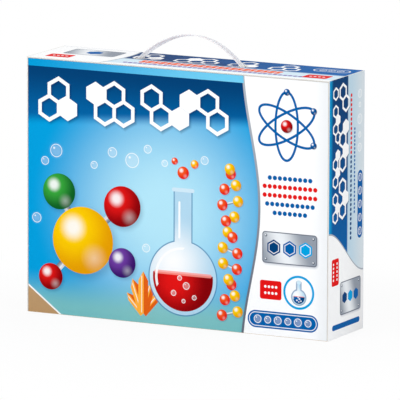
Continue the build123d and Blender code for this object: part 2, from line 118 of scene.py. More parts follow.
def add_node(tree, kind, inputs=None, **settings):
    """A new shader node with its settings, and its inputs fed by name or place."""
    node = tree.nodes.new("ShaderNode" + kind)
    for setting, value in settings.items():
        setattr(node, setting, value)
    for place, value in (inputs or {}).items():
        feed(node.inputs[place], value)
    return node


class Field:
    """A number or colour worked out at each point of a surface, as plain arithmetic."""

    def __init__(self, socket):
        self.socket = socket
        self.tree = socket.id_data

    def math(self, operation, *others):
        values = dict(enumerate((self, *others)))
        return Field(add_node(self.tree, "Math", values, operation=operation).outputs[0])

    __add__ = partialmethod(math, "ADD")
    __sub__ = partialmethod(math, "SUBTRACT")
    __mul__ = partialmethod(math, "MULTIPLY")
    __truediv__ = partialmethod(math, "DIVIDE")
    __abs__ = partialmethod(math, "ABSOLUTE")
    low = partialmethod(math, "MINIMUM")
    high = partialmethod(math, "MAXIMUM")
    above = partialmethod(math, "GREATER_THAN")
    below = partialmethod(math, "LESS_THAN")
    fraction = partialmethod(math, "FRACT")
    root = partialmethod(math, "SQRT")
    sine = partialmethod(math, "SINE")

    def __rsub__(self, other):
        return self.math("MULTIPLY_ADD", -1.0, other)

    def __neg__(self):
        return self * -1.0

    def clamped(self):
        """Held between 0 and 1, by a node of its own, so that the tree is worked out in order."""
        return Field(add_node(self.tree, "Clamp", {"Value": self}).outputs[0])

    def share(self, start, end):
        """0 at start and 1 at end, held beyond them."""
        width = end - start
        return self.math("MULTIPLY_ADD", 1 / width, -start / width).clamped()

    def smooth(self, start, end):
        """0 at start and 1 at end, easing in and out."""
        inputs = {"Value": self, "From Min": start, "From Max": end}
        return Field(add_node(self.tree, "MapRange", inputs, clamp=False,
                              interpolation_type="SMOOTHSTEP").outputs[0])


MIX_SHARE, MIX_FIRST, MIX_SECOND, MIX_RESULT = 0, 6, 7, 2  # a Mix node's colour sockets


def mixed(share, first, second):
    """The first colour turning into the second as share goes from 0 to 1."""
    inputs = {MIX_SHARE: share, MIX_FIRST: first, MIX_SECOND: second}
    return Field(add_node(share.tree, "Mix", inputs, data_type="RGBA").outputs[MIX_RESULT])


def new_group(name, inputs, output):
    """An empty node group with the given sockets, and its input and output nodes."""
    tree = bpy.data.node_groups.new(name, "ShaderNodeTree")
    for label, kind in inputs:
        tree.interface.new_socket(label, in_out="INPUT", socket_type="NodeSocket" + kind)
    tree.interface.new_socket(output[0], in_out="OUTPUT", socket_type="NodeSocket" + output[1])
    return tree, tree.nodes.new("NodeGroupInput"), tree.nodes.new("NodeGroupOutput")


def in_group(draw):
    """Draws a motif in a node group of its own, so that no tree gets long and slow to build."""
    def drawn(self, *values, **settings):
        outer, point, colour = self.tree, self.point, self.colour
        self.tree, source, sink = new_group(
            draw.__name__, (("Point", "Vector"), ("Under", "Color")), ("Colour", "Color"))
        self.point, self.colour = source.outputs["Point"], Field(source.outputs["Under"])
        draw(self, *values, **settings)
        feed(sink.inputs[0], self.colour)
        node = add_node(outer, "Group", {"Point": point, "Under": colour}, node_tree=self.tree)
        self.tree, self.point, self.colour = outer, point, Field(node.outputs[0])
    return drawn


FLASK_BUBBLES = (  # right, up and radius, as shares of the flask's radius
    (0.1, -0.2, 0.09), (-0.28, -0.42, 0.07), (0.34, -0.5, 0.06), (0.02, -0.62, 0.05),
    (-0.1, 0.0, 0.06))


def shifted(place, right, up):
    """A point of a print moved to the right and up."""
    return (place[0] + right, place[1] + up)


class Print:
    """A flat print. Shapes are signed distances in millimetres, painted one over another.

    Coordinates are u to the right and v upwards, as seen by someone facing the print,
    from its lower left corner.
    """

    EDGE = 0.25  # softness of a printed edge, in millimetres
    shapes = {}  # node groups of the shapes, each made once

    def __init__(self, u, v, ground):
        self.tree, self.u, self.v = u.tree, u, v
        self.point = add_node(self.tree, "CombineXYZ", {"X": u, "Y": v}).outputs[0]
        self.colour = ground

    def vector(self, operation, *values, output=0):
        inputs = dict(enumerate(values))
        return add_node(self.tree, "VectorMath", inputs, operation=operation).outputs[output]

    def dot(self, first, second):
        return Field(self.vector("DOT_PRODUCT", first, second, output=1))

    def shape(self, name, build, **values):
        """A distance from a shape's node group, which build makes on first use."""
        if name not in Print.shapes:
            kinds = [(key, "Vector" if isinstance(value, tuple) else "Float")
                     for key, value in values.items()]
            outer = self.tree
            self.tree, source, sink = new_group(
                name, [("Point", "Vector")] + kinds, ("Distance", "Float"))
            fields = [Field(socket) if socket.type == "VALUE" else socket
                      for socket in list(source.outputs)[:1 + len(kinds)]]
            feed(sink.inputs[0], build(*fields))
            Print.shapes[name], self.tree = self.tree, outer
        inputs = {"Point": self.point, **values}
        return Field(add_node(self.tree, "Group", inputs,
                              node_tree=Print.shapes[name]).outputs[0])

    def along(self, direction, start=(0, 0)):
        """How far the point lies from start in a unit direction."""
        shift = direction[0] * start[0] + direction[1] * start[1]
        return self.dot(self.point, (*direction, 0)) - shift

    def spot(self, centre):
        """Distance from a point."""
        return Field(self.vector("DISTANCE", self.point, (*centre, 0), output=1))

    def disc(self, centre, radius):
        return self.spot(centre) - radius

    def ring(self, centre, radius, width):
        return abs(self.disc(centre, radius)) - width / 2

    def oval_ring(self, centre, radii, turn, width):
        """The line round an ellipse whose long axis is turned by an angle in radians."""
        def build(point, middle, right, upward, long, short, line):
            offset = self.vector("SUBTRACT", point, middle)
            across, up = self.dot(offset, right), self.dot(offset, upward)
            reach = (across * across + up * up).root()
            slope = (across / long) * (across / long) + (up / short) * (up / short)
            return abs((reach - 1.0) * reach / slope.root().high(1e-4)) - line * 0.5
        cosine, sine = math.cos(turn), math.sin(turn)
        return self.shape(
            "oval_ring", build, Middle=(*centre, 0),
            Right=(cosine / radii[0], sine / radii[0], 0),
            Upward=(-sine / radii[1], cosine / radii[1], 0),
            Long=radii[0], Short=radii[1], Line=width)

    def stroke(self, start, end, width):
        """A straight line with round ends."""
        def build(point, begin, run, scaled, line):
            offset = self.vector("SUBTRACT", point, begin)
            share = self.dot(offset, scaled).clamped()
            node = add_node(self.tree, "VectorMath", {0: run, "Scale": share}, operation="SCALE")
            return Field(self.vector("DISTANCE", offset, node.outputs[0], output=1)) - line * 0.5
        run = (end[0] - start[0], end[1] - start[1], 0)
        square = run[0] ** 2 + run[1] ** 2
        return self.shape(
            "stroke", build, Begin=(*start, 0), Run=run,
            Scaled=(run[0] / square, run[1] / square, 0), Line=width)

    def box(self, centre, size, corner=0.0):
        """A rectangle with rounded corners."""
        def build(point, middle, reach, rounding):
            away = self.vector("ABSOLUTE", self.vector("SUBTRACT", point, middle))
            beyond = self.vector("MAXIMUM", self.vector("SUBTRACT", away, reach), (0, 0, 0))
            return Field(self.vector("LENGTH", beyond, output=1)) - rounding
        corner = max(corner, 2 * self.EDGE)
        reach = (size[0] / 2 - corner, size[1] / 2 - corner, 0)
        return self.shape("box", build, Middle=(*centre, 0), Reach=reach, Rounding=corner)

    def hexagon(self, centre, apothem):
        """A regular hexagon with a corner at the top."""
        def build(point, middle, half):
            offset = self.vector("SUBTRACT", point, middle)
            turns = [math.radians(60 * side) for side in range(3)]
            fars = [abs(self.dot(offset, (math.cos(turn), math.sin(turn), 0))) for turn in turns]
            return fars[0].high(fars[1]).high(fars[2]) - half
        return self.shape("hexagon", build, Middle=(*centre, 0), Half=apothem)

    def paint(self, distance, colour, soft=EDGE, strength=1.0):
        """Paints a colour inside a shape, with a soft edge."""
        share = distance.smooth(soft, -soft)
        if strength != 1.0:
            share = share * strength
        self.colour = mixed(share, self.colour, colour)

    # ======== motifs
    @in_group
    def ball(self, centre, radius, colour, shade):
        """A shaded ball with a soft shadow and two lights."""
        high = shifted(centre, -radius * 0.32, radius * 0.36)
        self.paint(self.disc(shifted(centre, radius * 0.1, -radius * 0.12), radius),
                   ink(20, 60, 110), soft=radius * 0.22, strength=0.35)
        depth = self.spot(high).smooth(radius * 0.25, radius * 1.35)
        self.paint(self.disc(centre, radius), mixed(depth, colour, shade))
        self.paint(self.disc(high, radius * 0.3), WHITE, soft=radius * 0.2, strength=0.85)
        low = shifted(centre, radius * 0.38, -radius * 0.5)
        self.paint(self.disc(low, radius * 0.2), WHITE, soft=radius * 0.3, strength=0.3)

    @in_group
    def rod(self, start, end, width):
        """A rounded grey bond between two balls."""
        length = math.hypot(end[0] - start[0], end[1] - start[1])
        across = ((start[1] - end[1]) / length, (end[0] - start[0]) / length)
        tone = self.along(across, start)
        shape = self.stroke(start, end, width)
        self.paint(shape, mixed(tone.share(-width / 2, width / 2),
                                DARK_SILVER, ink(226, 232, 240)))
        shift = width * 0.16
        line = [shifted(p, across[0] * shift, across[1] * shift) for p in (start, end)]
        self.paint(self.stroke(*line, width * 0.22), WHITE, soft=width * 0.14, strength=0.8)

    @in_group
    def bubble(self, centre, radius, strength=0.8):
        """A clear bubble: a bright rim and a small light."""
        self.paint(self.disc(centre, radius), WHITE, soft=radius * 0.5, strength=0.22 * strength)
        self.paint(self.ring(centre, radius, max(0.8, radius * 0.1)), WHITE, strength=strength)
        light = shifted(centre, -radius * 0.38, radius * 0.4)
        self.paint(self.disc(light, radius * 0.16), WHITE, soft=radius * 0.1, strength=strength)

    @in_group
    def honeycomb(self, origin, rows, apothem, line, colour):
        """Hexagons joined on a lattice over a soft shadow, by rows from the lowest up.

        In a row, o is a ring, x is a filled hexagon and a dot is a gap.
        """
        cells = [(column, row, kind) for row, kinds in enumerate(rows)
                 for column, kind in enumerate(kinds) if kind != "."]
        row_pitch = apothem * math.sqrt(3)
        for shift, tone, soft, strength in (
                (line * 0.45, ink(4, 36, 84), line * 0.6, 0.55), (0.0, colour, self.EDGE, 1.0)):
            joined = None
            for column, row, kind in cells:
                x = origin[0] + apothem * (2 * column + row % 2)
                y = origin[1] + row_pitch * row
                shape = self.hexagon((x + shift, y - shift), apothem)
                if kind == "o":
                    shape = abs(shape) - line / 2
                joined = shape if joined is None else joined.low(shape)
            self.paint(joined, tone, soft=soft, strength=strength)

    @in_group
    def atom(self, centre, radius, line, orbit, core, core_shade):
        """Three crossing orbits round a core, each with a small ball at one end."""
        turns = [math.radians(angle) for angle in (90, 30, -30)]
        for turn in turns:
            self.paint(self.oval_ring(centre, (radius, radius * 0.36), turn, line), orbit)
        for turn in turns:
            place = shifted(centre, radius * math.cos(turn), radius * math.sin(turn))
            self.ball(place, radius * 0.1, orbit, NAVY)
        self.ball(centre, radius * 0.19, core, core_shade)

    @in_group
    def beads(self, start, count, pitch, radius, colour, upright=False):
        """A row of small beads, along the print or up it."""
        run, side = self.along((1, 0), start), self.along((0, 1), start)
        if upright:
            run, side = side, run
        step = ((run / pitch).fraction() - 0.5) * pitch
        bead = (step * step + side * side).root() - radius
        half = count * pitch / 2
        ends = abs(run - half) - half
        self.paint(bead.high(ends), colour)

    @in_group
    def plate(self, centre, size):
        """A bare metal plate with a bevelled edge and a rivet at each corner."""
        (x, y), (wide, high) = centre, size
        self.paint(self.box((x + 1.2, y - 1.6), size, 5), NAVY, soft=2.4, strength=0.4)
        self.paint(self.box(centre, size, 4), DARK_SILVER)
        sheen = abs(self.along((0.94, 0.34), (x - wide * 0.12, y))).smooth(0, wide * 0.42)
        self.paint(self.box(centre, (wide - 2.4, high - 2.4), 3),
                   mixed(sheen, ink(236, 240, 244), ink(146, 154, 166)))
        for side in (-1, 1):
            for end in (-1, 1):
                place = (x + side * (wide / 2 - 5), y + end * (high / 2 - 5))
                self.paint(self.disc(place, 1.8), ink(84, 92, 106))
                self.paint(self.disc(shifted(place, -0.4, 0.4), 1.0), ink(228, 232, 238))

    @in_group
    def crystal(self, foot, lean, length, width, colour, shade):
        """A pointed crystal: a light face, a dark face and a bright ridge between them."""
        out = (math.sin(lean), math.cos(lean))
        over = (out[1], -out[0])
        run, side = self.along(out, foot), self.along(over, foot)
        tip = abs(side) - (length - run) * 0.6
        body = (abs(side) - width / 2).high(-run).high(tip)
        self.paint(body, mixed(side.share(0.2, 0.9), colour, shade))
        glint = (abs(side + width * 0.16) - 0.5).high(body + 1.2)
        self.paint(glint, WHITE, soft=0.5, strength=0.8)

    @in_group
    def round_flask(self, centre, radius, neck, liquid, liquid_shade):
        """A round-bottomed flask, half full, with bubbles rising through its liquid."""
        x, y = centre
        lip = y + neck
        width = radius * 0.5
        surface = (x, y + radius * 0.12)
        outline = self.disc(centre, radius).low(self.box((x, (y + lip) / 2), (width, neck)))
        self.paint(outline - 1.6, ink(60, 120, 170), soft=0.5, strength=0.75)
        depth = self.spot(shifted(centre, -radius * 0.3, radius * 0.4)).smooth(0, radius * 1.4)
        self.paint(outline, mixed(depth, WHITE, ink(176, 214, 236)))
        inside = self.disc(centre, radius * 0.9).high(self.along((0, 1), surface))
        middle = shifted(centre, -radius * 0.25, -radius * 0.1)
        tone = self.spot(middle).smooth(radius * 0.1, radius)
        self.paint(inside, mixed(tone, liquid, liquid_shade))
        rim = self.box(surface, (radius * 1.72, radius * 0.1), radius * 0.05)
        self.paint(rim, ink(255, 150, 140), strength=0.8)
        for right, up, size in FLASK_BUBBLES:
            self.bubble(shifted(centre, right * radius, up * radius), size * radius, 0.9)
        shine = abs(self.disc(centre, radius * 0.8)) - radius * 0.035
        wedge = self.along((-0.8, 0.6), shifted(centre, -radius * 0.42, radius * 0.2))
        self.paint(shine.high(-wedge), WHITE, strength=0.9)
        self.paint(self.box((x, lip), (width * 1.35, 5), 2.5), ink(206, 230, 244))
        self.paint(self.box((x - width * 0.22, y + neck * 0.66), (width * 0.12, neck * 0.42), 1),
                   WHITE, strength=0.9)


# ======== the case's prints
def wave(p, base, swing, period, start, along_v=True):
    """A gently waving limit, as a field along the print's other axis."""
    run = p.v if along_v else p.u
    return ((run - start) * (2 * math.pi / period)).sine() * swing + base


def helix(p, foot, turns, rungs, pitch, reach):
    """A twisted ladder of balls, the nearer ball of each rung painted last."""
    for rung in range(rungs):
        angle = 2 * math.pi * turns * rung / rungs
        swing, height = reach * math.cos(angle), foot[1] + rung * pitch
        left, right = (foot[0] - swing, height), (foot[0] + swing, height + pitch * 0.3)
        p.rod(left, right, 3.0)
        pair = [(left, ORANGE, RED), (right, YELLOW, DARK_YELLOW)]
        for centre, tone, shade in pair if math.sin(angle) > 0 else pair[::-1]:
            p.ball(centre, 7.2, tone, shade)


def tag(p, centre, size, starts, count, pitch, radius, upright=False):
    """A red tag with rows of white beads, each from a start."""
    p.paint(p.box(centre, size, 3), RED)
    for start in starts:
        p.beads(start, count, pitch, radius, WHITE, upright)


FRONT_BUBBLES = (  # place and radius
    (150, 206, 9), (172, 222, 5), (122, 214, 6), (96, 196, 4.5), (26, 196, 5), (42, 210, 8),
    (252, 214, 5), (196, 206, 4), (14, 122, 6), (170, 96, 5))
CRYSTALS = (  # lean, length and width
    (-0.75, 34, 10), (0.72, 36, 10), (-0.34, 46, 12), (0.3, 42, 12), (0.0, 54, 14))
MIDDLE_BALL = (80, 98)
MOLECULE = (  # place, radius, colour and shade, the farthest first
    ((46, 158), 23, GREEN, DARK_GREEN), ((34, 48), 17, RED, DARK_RED),
    ((136, 146), 26, RED, DARK_RED), (MIDDLE_BALL, 43, YELLOW, DARK_YELLOW),
    ((136, 74), 19, VIOLET, DARK_VIOLET))
SPARKS = (((222, 196), 8, ORANGE, RED), ((238, 208), 5.5, YELLOW, ORANGE),
          ((210, 210), 4.5, ORANGE, RED))
BEAD_ROWS = ((9, BLUE), (11, RED), (11, RED), (10, BLUE), (7, BLUE))


def front_print(p):
    """The lid: a dark band, a bright field full of motifs, and a white panel."""
    width, height = CASE_WIDTH, CASE_HEIGHT
    glow = p.spot((width * 0.46, height * 0.44)).smooth(20, 190)
    p.colour = mixed(glow, ICE, SKY)
    p.colour = mixed(p.v.smooth(58, 8) * 0.7, p.colour, ink(140, 200, 180))
    band = (p.v - p.u * 0.06).smooth(height - 88, height - 70)
    dark = mixed(p.v.smooth(height - 84, height - 10), ink(0, 100, 166), ink(0, 62, 114))
    p.colour = mixed(band, p.colour, dark)
    p.honeycomb((32, height - 63), ("ox.oo.ox.o", "o.xo.o.xo"), 13.2, 4.8, WHITE)
    for x, y, size in FRONT_BUBBLES:
        p.bubble((x, y), size, 0.85)

    corner = p.along((0.6, 0.8)) - 30
    p.paint(corner, WHITE, soft=0.5)
    p.paint(corner + 2.0, KRAFT)

    for crystal in CRYSTALS:
        p.crystal((166, 12), *crystal, ink(255, 176, 60), ink(226, 96, 20))

    for place, *_ in MOLECULE:
        if place != MIDDLE_BALL:
            p.rod(MIDDLE_BALL, place, 9)
    for ball in MOLECULE:
        p.ball(*ball)
    p.round_flask((222, 62), 47, 112, RED, DARK_RED)
    for spark in SPARKS:
        p.ball(*spark)
    helix(p, (288, 20), 1.4, 10, 20, 11)

    limit = p.u - wave(p, width * 0.745, 12, height * 1.15, height * 0.2)
    p.paint(-limit, SHADOW_INK, soft=7, strength=0.30)
    # The white panel, with painted shade greying it towards the lid's right edge.
    p.paint(-limit, mixed(p.u.smooth(width - 30, width), WHITE, ink(238, 241, 244)))
    p.paint(abs(limit) - 1.6, mixed(p.v.smooth(0, height), DARK_SILVER, SILVER))

    p.atom((366, 266), 43, 3.2, BLUE, RED, DARK_RED)
    for row, (count, tone) in enumerate(BEAD_ROWS):
        p.beads((371 - 3.5 * count, 200 - 11 * row), count, 7, 2.9, tone)
    p.plate((371, 112), (76, 40))
    for column, tone in enumerate((NAVY, BLUE, CYAN)):
        p.paint(p.hexagon((349 + 22 * column, 112), 9), tone)
        p.paint(abs(p.hexagon((349 + 22 * column, 112), 6.6)) - 0.5, WHITE, strength=0.85)
    p.paint(p.ring((384, 58), 20, 3), CYAN)
    p.round_flask((384, 52), 9, 19, BLUE, NAVY)
    tag(p, (345, 58), (30, 24), ((335, 62), (335, 54)), 4, 5, 1.7)
    p.paint(p.box((362, 20), (98, 22), 11), BLUE)
    p.paint(abs(p.box((362, 20), (93, 17), 8.5)) - 0.5, WHITE, strength=0.9)
    for step in range(6):
        p.bubble((327 + 14 * step, 20), 4.8 - 0.6 * (step % 2), 1.0)

    strip = p.v - (height - 11)
    tone = mixed(p.u.smooth(0, width * 0.7), ink(0, 154, 214), ink(112, 204, 240))
    p.paint((-strip).high(limit), tone)


def side_print(p):
    """A side wall: a dark band with linked rings beside a pale one, over a white foot."""
    width, height = CASE_DEPTH, CASE_HEIGHT
    foot = p.u.smooth(0, width) * -58 + 134
    # The white foot, with painted shade greying it slightly towards the back edge.
    p.colour = mixed(p.u.smooth(40, width), WHITE, ink(240, 240, 241))
    dark = mixed(p.v.smooth(60, height), ink(0, 96, 168), ink(0, 60, 112))
    dark = mixed(p.u.smooth(2, 12), ink(0, 150, 210), dark)
    pale = mixed(p.u.smooth(55, width), ink(190, 216, 232), ink(216, 226, 232))
    p.paint(foot - p.v, mixed(p.u.smooth(51, 54), dark, pale))

    for x, rows, size, line in ((18, "oxo.oxox.ooxo.o", 6.4, 2.4), (38, "oxo.oxox.oo", 8.6, 3.2)):
        p.honeycomb((x, 148 + x * 0.3), rows, size, line, WHITE)
    p.beads((62, 118), 18, 6, 2.3, NAVY, upright=True)
    p.beads((62, 226), 13, 6, 2.3, RED, upright=True)
    p.beads((72, 150), 22, 5, 1.8, BLUE, upright=True)
    p.paint(p.box((88, 160), (14, 86), 7), BLUE)
    for step in range(5):
        p.bubble((88, 126 + 17 * step), 4.6, 1.0)
    for y, size in ((300, 5), (286, 3), (268, 6), (248, 3.5), (232, 5)):
        p.bubble((86, y), size, 0.9)

    p.paint(abs(p.v - foot) - 1.0, SILVER)
    p.plate((62, 48), (58, 42))
    for column, tone in enumerate((NAVY, CYAN, BLUE)):
        p.paint(p.hexagon((46 + 16 * column, 48), 6.4), tone)
    tag(p, (19, 84), (20, 34), ((14, 72), (24, 72)), 5, 5, 1.6, upright=True)
    p.paint(p.box((50, 14), (78, 7), 3.5), BLUE)


def top_print(p):
    """The top wall: a white end with a plate, then a dark and a pale band along the length."""
    width, depth = CASE_WIDTH, CASE_DEPTH
    dark = mixed(p.u.smooth(width * 0.3, width), ink(0, 60, 116), ink(0, 96, 170))
    p.colour = mixed(p.v.smooth(40, 50), ink(214, 234, 246), dark)
    p.honeycomb((132, 62), ("ox.ooo.ox.oo", "o..xo..o..o"), 9.5, 3.4, WHITE)
    for row in range(2):
        p.beads((width * 0.34, 28 + 9 * row), 22, 9, 4.4, ORANGE)
    p.beads((width * 0.30, 17), 38, 7, 3.2, VIOLET)
    p.paint(p.v - 8, WHITE, soft=2)
    edge = p.u - wave(p, width * 0.25, 8, depth * 2.2, 10)
    p.paint(edge, SHADOW_INK, soft=4, strength=0.3)
    p.paint(edge, WHITE)
    p.paint(abs(edge) - 1.2, SILVER)
    p.plate((62, 66), (72, 40))
    p.paint(p.hexagon((62, 66), 10), BLUE)
    tag(p, (34, 26), (34, 22), ((22, 26),), 4, 6, 2.0)
    tag(p, (width - 30, 26), (34, 24), ((width - 42, 26),), 4, 6, 2.0)
    p.paint(p.box((width - 34, 76), (50, 20), 10), WHITE)
    p.paint(p.box((width - 34, 76), (47, 17), 8.5), BLUE)
    for step in range(3):
        p.bubble((width - 46 + 12 * step, 76), 4.4, 1.0)


def tile(p, centre, size, tone):
    """A white tile with a soft shadow and a coloured line round it."""
    p.paint(p.box(shifted(centre, 1.5, -1.8), size, 7), ink(40, 90, 140), soft=3, strength=0.4)
    p.paint(p.box(centre, size, 7), WHITE)
    p.paint(abs(p.box(centre, (size[0] - 4, size[1] - 4), 5)) - 0.5, tone)


def back_print(p):
    """The back: a pale field under a dark band, with six tiles of simple pictures."""
    width, height = CASE_WIDTH, CASE_HEIGHT
    p.colour = mixed(p.v.smooth(0, height * 0.9), ink(226, 240, 248), ink(120, 194, 232))
    band = p.v - wave(p, height - 74, 7, width * 1.25, 0, along_v=False)
    p.paint(-band, mixed(p.u.smooth(0, width), ink(8, 66, 126), ink(0, 112, 182)))
    p.paint(abs(band) - 1.1, SILVER)
    p.honeycomb((56, height - 46), ("ox.ooo.x.oo",), 11, 3.4, WHITE)
    size = (112, 92)
    columns = [width / 2 + step * (size[0] + 18) for step in (-1, 0, 1)]
    rows = (168, 62)
    tones = ((RED, BLUE, GREEN), (VIOLET, ORANGE, CYAN))
    for row, y in enumerate(rows):
        for column, x in enumerate(columns):
            tile(p, (x, y), size, tones[row][column])
    left, middle, right = columns
    high, low = rows
    p.round_flask((left, high - 16), 20, 46, BLUE, NAVY)
    for right_by, up_by, tone, shade in (
            (-26, 18, RED, DARK_RED), (28, 14, GREEN, DARK_GREEN), (4, -30, VIOLET, DARK_VIOLET)):
        end = (middle + right_by, high + up_by)
        p.rod((middle, high), end, 4.5)
        p.ball(end, 8.5, tone, shade)
    p.ball((middle, high), 13, YELLOW, DARK_YELLOW)
    p.atom((right, high), 32, 2.2, BLUE, RED, DARK_RED)
    for step, (tone, level) in enumerate(((RED, 20), (GREEN, 34), (VIOLET, 27))):
        x = left + 24 * (step - 1)
        p.paint(p.box((x, low), (12, 60), 6), ink(206, 226, 238))
        p.paint(p.box((x, low - 29 + level / 2), (9, level), 4.5), tone)
        p.paint(p.box((x, low + 30), (16, 3.4), 1.7), ink(150, 176, 194))
    for ring in range(3):
        p.paint(p.ring((middle, low), 12 + 9 * ring, 2.4), (ORANGE, YELLOW, RED)[ring])
    p.ball((middle, low), 6, ORANGE, RED)
    p.honeycomb((right - 18, low - 15), ("ooo", "xo", "xo"), 8.5, 2.2, CYAN)


# ======== materials
class Surface:
    """A material, with the rest place of each point in millimetres to work its looks out from."""

    def __init__(self, name, colour=WHITE, roughness=0.5, **settings):
        self.material = bpy.data.materials.new(name)
        self.material.use_nodes = True
        self.tree = self.material.node_tree
        self.shader = self.tree.nodes["Principled BSDF"]
        for socket, value in dict(settings, Base_Color=colour, Roughness=roughness).items():
            feed(self.shader.inputs[socket.replace("_", " ")], value)
        place = self.tree.nodes.new("ShaderNodeTexCoord")
        self.place = place.outputs["Object"]
        self.x, self.y, self.z = (field * (1 / MM) for field in self.split(self.place))
        self.nx, self.ny, self.nz = self.split(place.outputs["Normal"])

    def split(self, socket):
        return [Field(part) for part in add_node(self.tree, "SeparateXYZ", {0: socket}).outputs]

    def noise(self, size, detail=2.0, stretch=(1, 1, 1)):
        """A soft random field from 0 to 1, with blotches of a size in millimetres."""
        scaled = add_node(self.tree, "Mapping", {
            "Vector": self.place, "Scale": [1 / (MM * size * way) for way in stretch]})
        node = add_node(self.tree, "TexNoise", {
            "Vector": scaled.outputs[0], "Scale": 1.0, "Detail": detail})
        return Field(node.outputs["Fac"])

    def paint(self, colour):
        feed(self.shader.inputs["Base Color"], colour)

    def gloss(self, roughness):
        feed(self.shader.inputs["Roughness"], roughness)

    def bump(self, height, strength):
        """Raises the surface by a field in millimetres."""
        node = add_node(self.tree, "Bump", {
            "Distance": MM, "Strength": strength, "Height": height})
        feed(self.shader.inputs["Normal"], node.outputs[0])

    def blend(self, kind, share, colour):
        """Turns the shader by a share into another kind, which takes a colour."""
        other = add_node(self.tree, kind, {"Color": colour})
        mix = add_node(self.tree, "MixShader", {
            0: share, 1: self.shader.outputs[0], 2: other.outputs[0]})
        feed(self.tree.nodes["Material Output"].inputs["Surface"], mix.outputs[0])


FLUTE_PITCH = 3.2
LINER_THICKNESS = 0.22
HALF_SHEET = 0.14  # half the fluted sheet's thickness
FLUTE_SWELL = 0.62  # how far the sheet swings, as a share of half the board


def flute_wave(run):
    """From -1 to 1 and back over each flute."""
    return (run * (2 * math.pi / FLUTE_PITCH)).sine()


def cut_edge(surface, run, depth, across_flutes):
    """The colours of a cut board edge: two liners, the fluted sheet between them, painted shade in
    its hollows.
    """
    half = BOARD / 2
    middle = depth - half
    swell = flute_wave(run) * (half * FLUTE_SWELL) * across_flutes
    sheet = abs(middle - swell) - HALF_SHEET
    liner = (half - LINER_THICKNESS) - abs(middle)
    fleck = surface.noise(0.9)
    # Painted shade: the hollows beside the fluted sheet are greyed, as shade falls into them.
    painted_hollow_shade = mixed(fleck, ink(196, 191, 184), ink(220, 217, 211))
    line_tone = mixed(fleck, ink(242, 242, 240), ink(251, 251, 250))
    shade = mixed(sheet.share(0.12, -0.12), painted_hollow_shade, line_tone)
    return mixed(liner.share(0.08, -0.08), shade, line_tone)


def kraft(surface, run):
    """Unprinted liner: warm paper with fibres, and the flutes showing faintly through."""
    fibres = surface.noise(2.5, detail=5.0, stretch=(1, 1, 4))
    tone = mixed(fibres, ink(196, 168, 130), ink(222, 198, 162))
    ridge = flute_wave(run) * 0.06 + 0.06
    return mixed(ridge, tone, ink(150, 120, 84))


SCUFF_STRENGTH = 0.35
VARNISH_ROUGHNESS = 0.40
BARE_ROUGHNESS = 0.85


def printed_board(name, art, size, place, seam=None):
    """Printed fluted board: art outside, kraft liner inside, and fluted cut edges.

    Place gives six fields of a surface: the print's two coordinates, how far a face looks
    outwards, the depth into the board, the run across the flutes, and how far a cut edge lies
    across them. Seam gives the colour of edges that are folded or glued instead of cut.
    """
    surface = Surface(name, roughness=0.5, Specular_IOR_Level=0.02)
    u, v, outward, depth, run, across_flutes = place(surface)
    p = Print(u, v, WHITE)
    art(p)
    rim = u.low(v).low(size[0] - u).low(size[1] - v)
    scuff = surface.noise(5.0, detail=4.0).smooth(0.50, 0.72) * rim.share(1.6, 0.2)
    printed = mixed(scuff * SCUFF_STRENGTH, p.colour, PAPER)
    edge = seam(surface) if seam else cut_edge(surface, run, depth, across_flutes)
    unprinted = mixed(outward.below(-0.5), edge, kraft(surface, run))
    varnished = outward.above(0.5)
    surface.paint(mixed(varnished, unprinted, printed))
    varnish = surface.noise(12.0) * 0.12 + VARNISH_ROUGHNESS
    surface.gloss((varnish - BARE_ROUGHNESS) * varnished + BARE_ROUGHNESS)
    surface.bump(flute_wave(run) * 0.006 + surface.noise(0.8, detail=3.0) * 0.012, 0.6)
    return surface.material


FRONT_BOARD = printed_board("front_print", front_print, (CASE_WIDTH, CASE_HEIGHT), lambda s: (
    s.x + HALF_WIDTH, s.z, -s.ny, s.y - CASE_FRONT, s.x, abs(s.nz)))
SIDE_BOARD = printed_board("side_print", side_print, (CASE_DEPTH, CASE_HEIGHT), lambda s: (
    s.y - CASE_FRONT, s.z, s.nx * s.x.math("SIGN"), HALF_WIDTH - abs(s.x), s.y, abs(s.nz)))
TOP_BOARD = printed_board("top_print", top_print, (CASE_WIDTH, CASE_DEPTH), lambda s: (
    s.x + HALF_WIDTH, s.y - CASE_FRONT, s.nz, CASE_HEIGHT - s.z, s.x, abs(s.ny)))
BACK_BOARD = printed_board("back_print", back_print, (CASE_WIDTH, CASE_HEIGHT), lambda s: (
    HALF_WIDTH - s.x, s.z, s.ny, CASE_BACK - s.y, s.x, abs(s.nz)),
    seam=lambda s: mixed(abs(s.nz), ink(214, 226, 236), ink(30, 88, 144)))


def plain_board(name, flutes):
    """Unprinted fluted board: kraft liners, with the flutes across a field of the surface."""
    surface = Surface(name, roughness=BARE_ROUGHNESS, Specular_IOR_Level=0.25)
    run = flutes(surface)
    surface.paint(kraft(surface, run))
    surface.bump(flute_wave(run) * 0.008 + surface.noise(0.7, detail=3.0) * 0.03, 0.7)
    return surface.material


KRAFT_UPRIGHT = plain_board("kraft_board_upright", lambda s: s.y)
KRAFT_FLAT = plain_board("kraft_board_flat", lambda s: s.x)


def base_material():
    """The base: white outer liner, dulled by standing on shelves, and kraft inside."""
    surface = Surface("base_board", roughness=0.6, Specular_IOR_Level=0.35)
    dull = surface.noise(30.0, detail=5.0).smooth(0.4, 0.7)
    outside = mixed(dull * 0.4, ink(236, 239, 241), ink(206, 208, 208))
    below = (-surface.nz).above(0.5)
    surface.paint(mixed(below, kraft(surface, surface.x), outside))
    surface.bump(surface.noise(0.8, detail=3.0) * 0.02, 0.6)
    return surface.material


